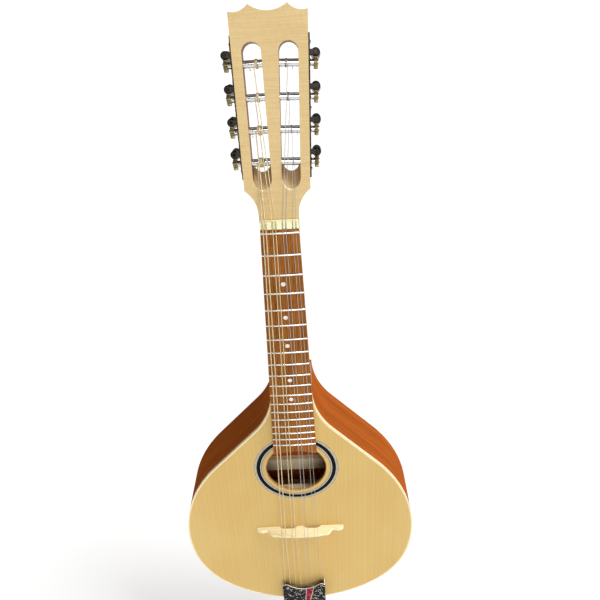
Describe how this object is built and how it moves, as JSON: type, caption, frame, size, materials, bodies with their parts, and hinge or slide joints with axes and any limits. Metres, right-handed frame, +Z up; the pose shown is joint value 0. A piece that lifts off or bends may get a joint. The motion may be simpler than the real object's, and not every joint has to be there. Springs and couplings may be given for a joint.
{
  "type": "mandolin",
  "caption": "Flat-backed teardrop mandolin with paired strings, floating bridge, round soundhole and a slotted head with geared tuners.",
  "frame": {"origin": "the hanging place: on the centreline at the head's flare just above the nut, level with the sound table's face", "axes": "+Z up along the neck towards the head, the strings and sound table face -Y, +X to the right seen from the front"},
  "size_m": [0.2404, 0.0682, 0.6314],
  "materials": {
    "spruce_top": "satin",
    "cream_binding": "gloss",
    "mahogany": "satin",
    "black_inlay": "gloss",
    "purfling": "satin",
    "neck_wood": "satin",
    "spruce_inside": "raw",
    "maple": "satin",
    "rosewood": "oiled",
    "nickel": "polished",
    "pearl": "gloss",
    "bone": "satin",
    "bone_bridge": "satin",
    "plated_steel": "polished",
    "dark_plate": "aged",
    "pearl_cover": "gloss",
    "bronze_string": "wound",
    "steel_string": "drawn",
    "chrome_post": "polished",
    "brass_worm": "polished",
    "black_button": "gloss"
  },
  "bodies": {
    "instrument": {"soundboard": "spruce_top", "edge_binding": "cream_binding", "back_plate": "mahogany", "rib_left": "mahogany", "rib_right": "mahogany", "rosette_ring": "black_inlay", "rosette_purfling": "purfling", "neck_block": "neck_wood", "tail_block": "neck_wood", "top_lining": "spruce_inside", "back_lining": "spruce_inside", "top_braces": "spruce_inside", "back_braces": "spruce_inside", "neck": "neck_wood", "head_faceplate": "maple", "fingerboard": "rosewood", "frets": "nickel", "position_dots": "pearl", "nut": "bone", "bridge": "bone_bridge", "tailpiece": "plated_steel", "tailpiece_screws": "plated_steel", "tuner_plate_left": "dark_plate", "tuner_plate_right": "dark_plate", "plate_screws": "plated_steel", "string_1": "bronze_string", "string_2": "bronze_string", "string_3": "bronze_string", "string_4": "bronze_string", "string_5": "steel_string", "string_6": "steel_string", "string_7": "steel_string", "string_8": "steel_string"},
    "cover": {"tailpiece_cover": "pearl_cover"},
    "post_left_1": {"post_left_1": "chrome_post"},
    "worm_left_1": {"worm_left_1": "brass_worm", "button_left_1": "black_button"},
    "post_left_2": {"post_left_2": "chrome_post"},
    "worm_left_2": {"worm_left_2": "brass_worm", "button_left_2": "black_button"},
    "post_left_3": {"post_left_3": "chrome_post"},
    "worm_left_3": {"worm_left_3": "brass_worm", "button_left_3": "black_button"},
    "post_left_4": {"post_left_4": "chrome_post"},
    "worm_left_4": {"worm_left_4": "brass_worm", "button_left_4": "black_button"},
    "post_right_1": {"post_right_1": "chrome_post"},
    "worm_right_1": {"worm_right_1": "brass_worm", "button_right_1": "black_button"},
    "post_right_2": {"post_right_2": "chrome_post"},
    "worm_right_2": {"worm_right_2": "brass_worm", "button_right_2": "black_button"},
    "post_right_3": {"post_right_3": "chrome_post"},
    "worm_right_3": {"worm_right_3": "brass_worm", "button_right_3": "black_button"},
    "post_right_4": {"post_right_4": "chrome_post"},
    "worm_right_4": {"worm_right_4": "brass_worm", "button_right_4": "black_button"}
  },
  "joints": [
    {"name": "cover_slide", "type": "slide", "parent": "instrument", "child": "cover", "axis": [0, 0, -1], "range_m": [0, 0.03]},
    {"name": "post_left_1_turn", "type": "hinge", "parent": "instrument", "child": "post_left_1", "pos_m": [-0.02646, 0.01477, 0.02975], "axis": [-0.9996, -0.0061, -0.0262], "continuous": true},
    {"name": "button_left_1_turn", "type": "hinge", "parent": "instrument", "child": "worm_left_1", "pos_m": [-0.03205, 0.01636, 0.03662], "axis": [0, -0.9744, 0.225], "continuous": true},
    {"name": "post_left_2_turn", "type": "hinge", "parent": "instrument", "child": "post_left_2", "pos_m": [-0.02711, 0.02021, 0.05333], "axis": [-0.9996, -0.0061, -0.0262], "continuous": true},
    {"name": "button_left_2_turn", "type": "hinge", "parent": "instrument", "child": "worm_left_2", "pos_m": [-0.0327, 0.0218, 0.0602], "axis": [0, -0.9744, 0.225], "continuous": true},
    {"name": "post_left_3_turn", "type": "hinge", "parent": "instrument", "child": "post_left_3", "pos_m": [-0.02776, 0.02566, 0.07691], "axis": [-0.9996, -0.0061, -0.0262], "continuous": true},
    {"name": "button_left_3_turn", "type": "hinge", "parent": "instrument", "child": "worm_left_3", "pos_m": [-0.03335, 0.02724, 0.08378], "axis": [0, -0.9744, 0.225], "continuous": true},
    {"name": "post_left_4_turn", "type": "hinge", "parent": "instrument", "child": "post_left_4", "pos_m": [-0.02841, 0.0311, 0.10049], "axis": [-0.9996, -0.0061, -0.0262], "continuous": true},
    {"name": "button_left_4_turn", "type": "hinge", "parent": "instrument", "child": "worm_left_4", "pos_m": [-0.03401, 0.03269, 0.10736], "axis": [0, -0.9744, 0.225], "continuous": true},
    {"name": "post_right_1_turn", "type": "hinge", "parent": "instrument", "child": "post_right_1", "pos_m": [0.02646, 0.01477, 0.02975], "axis": [0.9996, -0.0061, -0.0262], "continuous": true},
    {"name": "button_right_1_turn", "type": "hinge", "parent": "instrument", "child": "worm_right_1", "pos_m": [0.03205, 0.01636, 0.03662], "axis": [0, -0.9744, 0.225], "continuous": true},
    {"name": "post_right_2_turn", "type": "hinge", "parent": "instrument", "child": "post_right_2", "pos_m": [0.02711, 0.02021, 0.05333], "axis": [0.9996, -0.0061, -0.0262], "continuous": true},
    {"name": "button_right_2_turn", "type": "hinge", "parent": "instrument", "child": "worm_right_2", "pos_m": [0.0327, 0.0218, 0.0602], "axis": [0, -0.9744, 0.225], "continuous": true},
    {"name": "post_right_3_turn", "type": "hinge", "parent": "instrument", "child": "post_right_3", "pos_m": [0.02776, 0.02566, 0.07691], "axis": [0.9996, -0.0061, -0.0262], "continuous": true},
    {"name": "button_right_3_turn", "type": "hinge", "parent": "instrument", "child": "worm_right_3", "pos_m": [0.03335, 0.02724, 0.08378], "axis": [0, -0.9744, 0.225], "continuous": true},
    {"name": "post_right_4_turn", "type": "hinge", "parent": "instrument", "child": "post_right_4", "pos_m": [0.02841, 0.0311, 0.10049], "axis": [0.9996, -0.0061, -0.0262], "continuous": true},
    {"name": "button_right_4_turn", "type": "hinge", "parent": "instrument", "child": "worm_right_4", "pos_m": [0.03401, 0.03269, 0.10736], "axis": [0, -0.9744, 0.225], "continuous": true}
  ],
  "couplings": [
    {"joint": "button_left_1_turn", "follows": "post_left_1_turn", "ratio": -14},
    {"joint": "button_left_2_turn", "follows": "post_left_2_turn", "ratio": -14},
    {"joint": "button_left_3_turn", "follows": "post_left_3_turn", "ratio": -14},
    {"joint": "button_left_4_turn", "follows": "post_left_4_turn", "ratio": -14},
    {"joint": "button_right_1_turn", "follows": "post_right_1_turn", "ratio": -14},
    {"joint": "button_right_2_turn", "follows": "post_right_2_turn", "ratio": -14},
    {"joint": "button_right_3_turn", "follows": "post_right_3_turn", "ratio": -14},
    {"joint": "button_right_4_turn", "follows": "post_right_4_turn", "ratio": -14}
  ]
}
